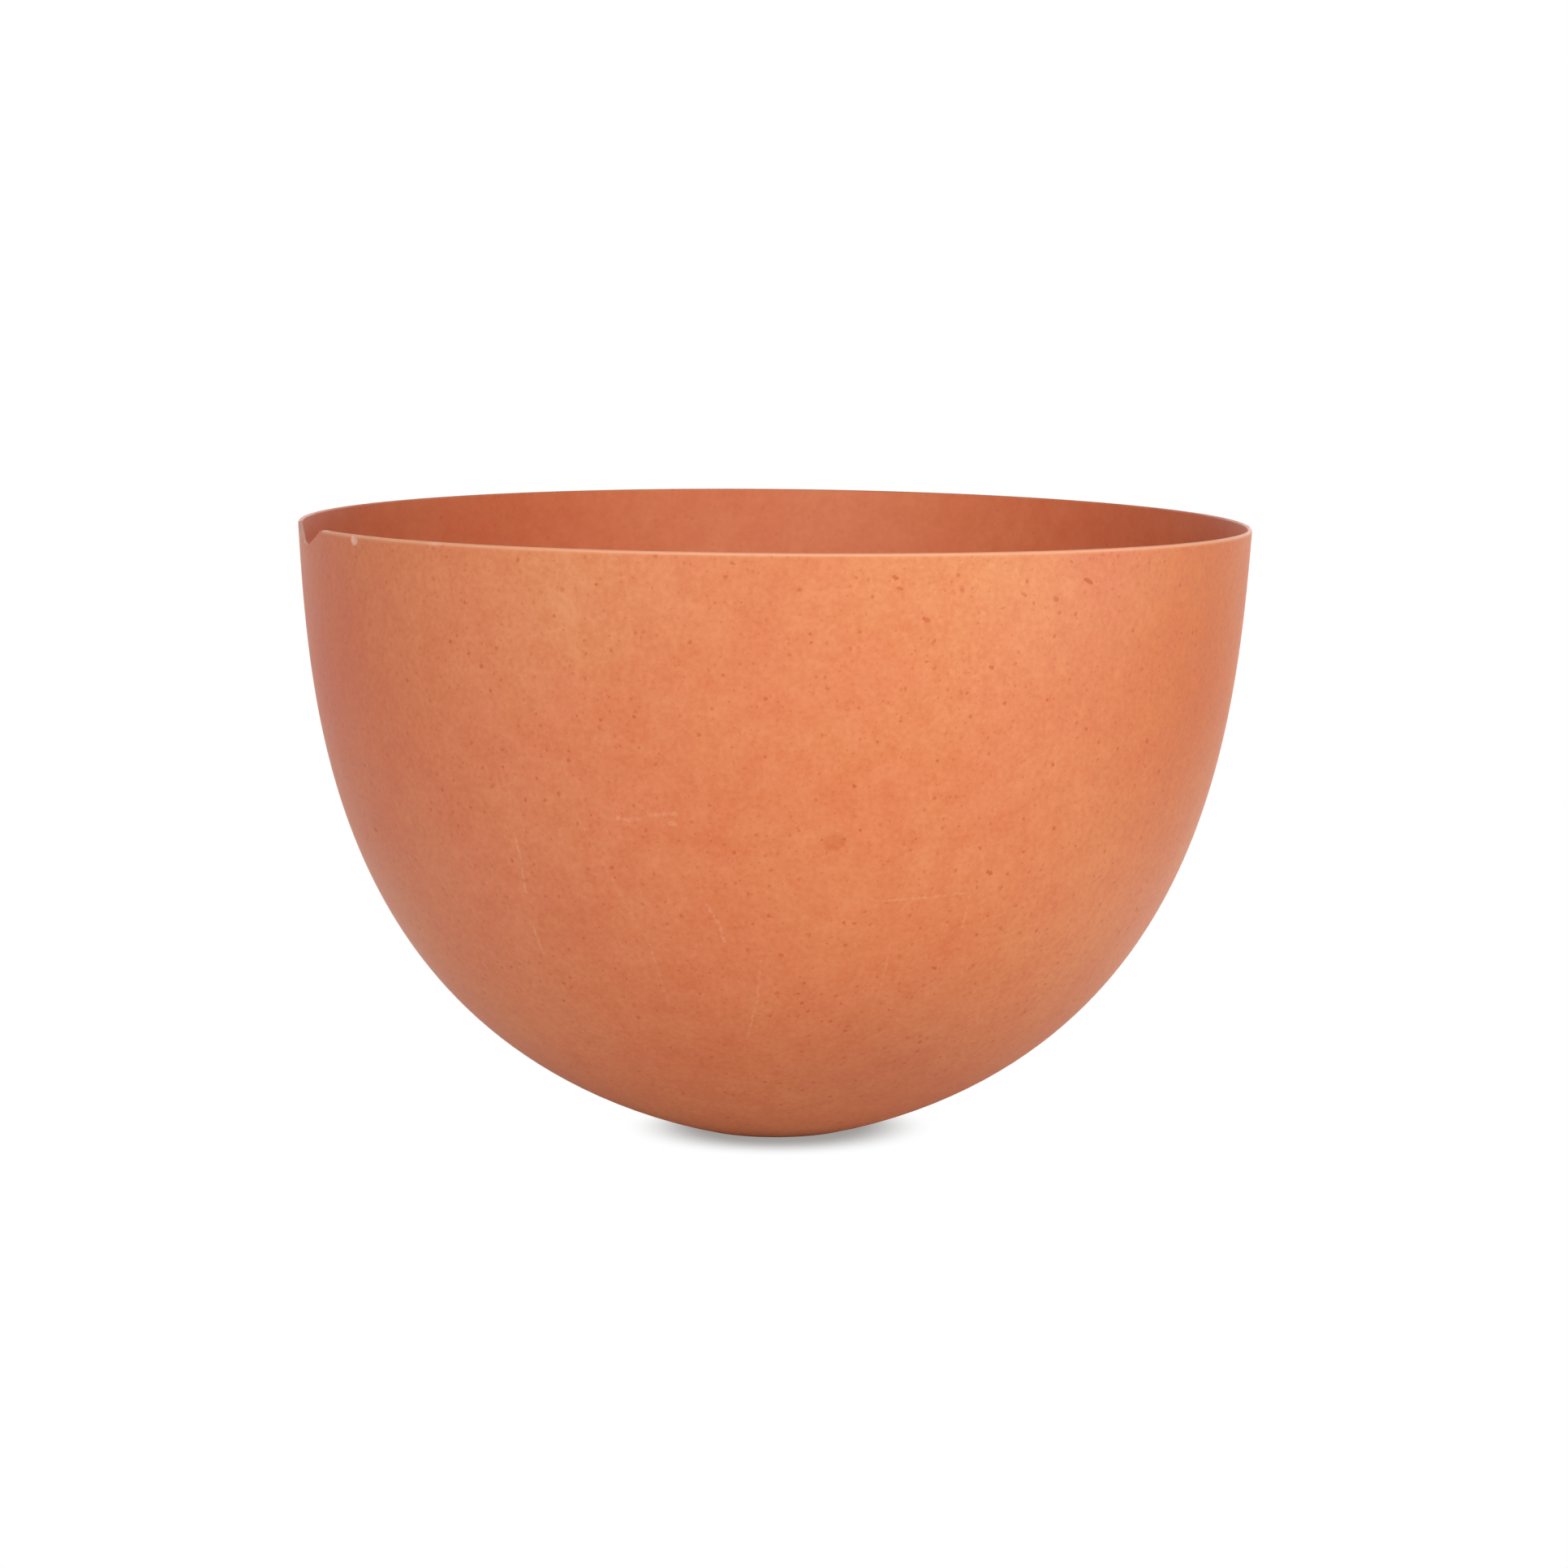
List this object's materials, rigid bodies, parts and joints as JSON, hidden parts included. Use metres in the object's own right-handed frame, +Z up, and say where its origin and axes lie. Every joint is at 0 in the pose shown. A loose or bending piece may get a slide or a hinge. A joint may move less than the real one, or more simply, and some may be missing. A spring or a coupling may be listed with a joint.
{
  "type": "stoneware bowl",
  "caption": "Deep round bowl of unglazed red stoneware with a thin rounded lip, a shallow chip in the rim and a small flat foot; stands on a table and holds food or fruit.",
  "frame": {"origin": "middle of the flat foot's underside, on the table", "axes": "+Z up along the turning axis, -Y to the front as the picture shows it, +X to the right"},
  "size_m": [0.25, 0.25, 0.161],
  "materials": {
    "stoneware": "unglazed red stoneware, matt to satin, finely speckled"
  },
  "bodies": {
    "root": {"bowl_body": "stoneware"}
  },
  "joints": []
}
